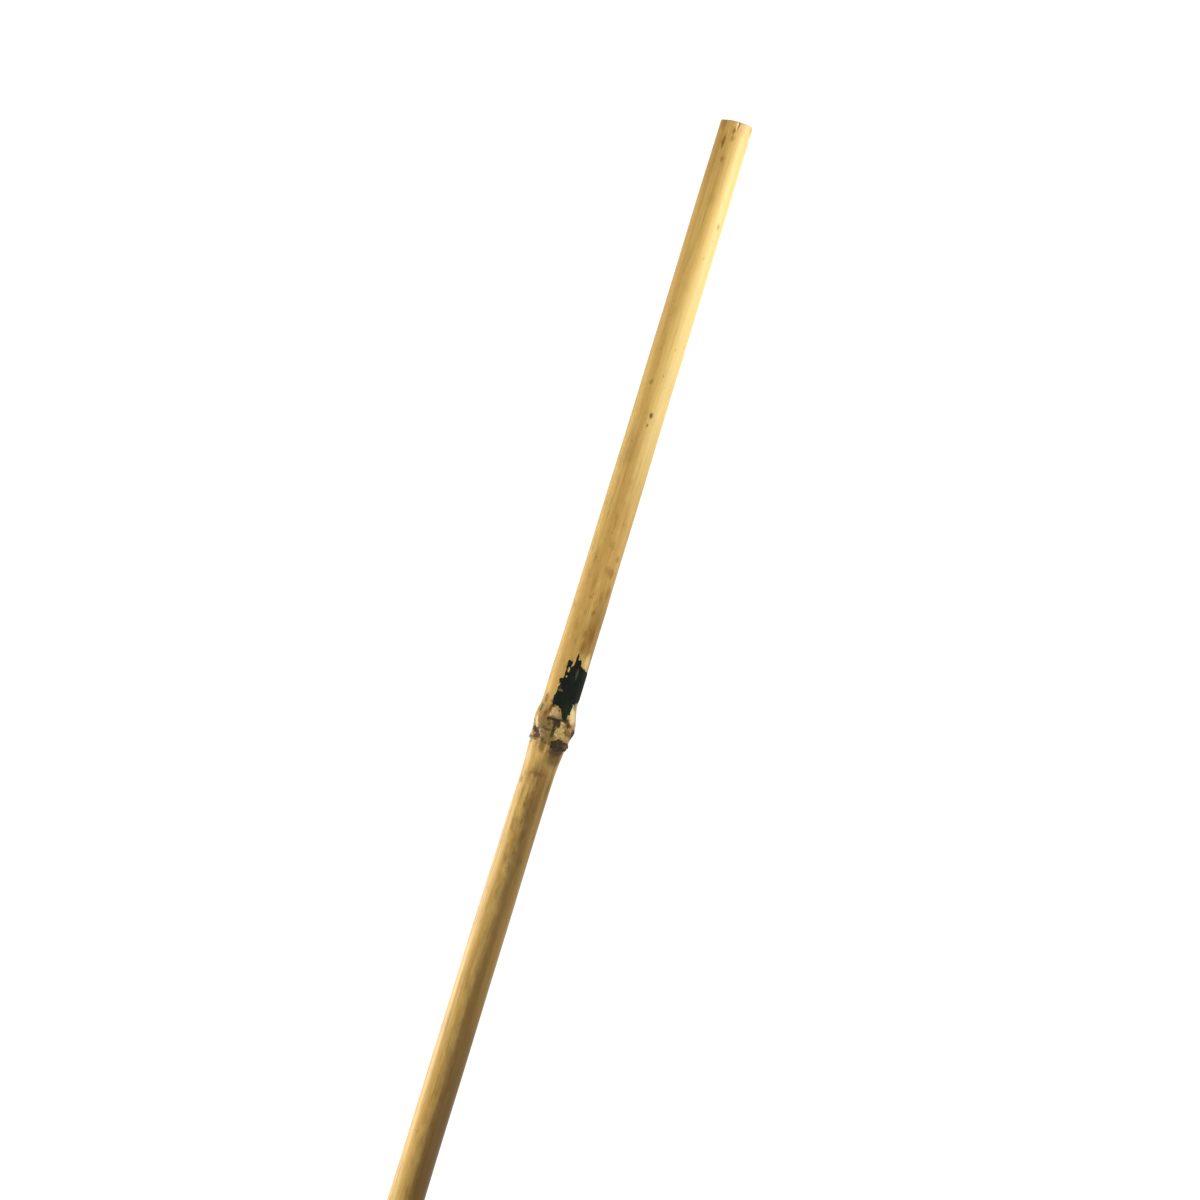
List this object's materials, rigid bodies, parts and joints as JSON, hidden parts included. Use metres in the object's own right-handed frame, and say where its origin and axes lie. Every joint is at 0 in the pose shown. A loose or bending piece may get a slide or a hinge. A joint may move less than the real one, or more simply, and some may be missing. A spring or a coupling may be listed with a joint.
{
  "type": "devil stick",
  "caption": "Straight hollow bamboo cane used as a juggling stick, with a swollen node at mid-length, trimmed branch scars and square-cut ends.",
  "frame": {"origin": "centre of the lower cut end of the cane, on the surface it stands on", "axes": "+Z along the cane in its growing direction, from the lower cut end through the node to the upper cut end; the branch scar, groove and paint face -Y"},
  "size_m": [0.021, 0.0221, 0.622],
  "materials": {
    "cane_shaded": "waxy satin",
    "cane_golden": "waxy satin",
    "node_wood": "satin, stained",
    "pith_wood": "matt",
    "scar_wood": "matt",
    "cut_fibre": "rough cut fibre",
    "weathered_fibre": "rough weathered fibre",
    "bud_tissue": "matt",
    "dried_sheath": "matt, papery",
    "dark_paint": "worn paint film"
  },
  "bodies": {
    "root": {"lower_internode": "cane_shaded", "upper_internode": "cane_golden", "nodal_ridge": "node_wood", "node_diaphragm": "pith_wood", "sheath_scar": "scar_wood", "main_branch_stub": "cut_fibre", "side_branch_stub": "weathered_fibre", "bud_scale": "bud_tissue", "sheath_remnant": "dried_sheath", "paint_patch": "dark_paint"}
  },
  "joints": []
}
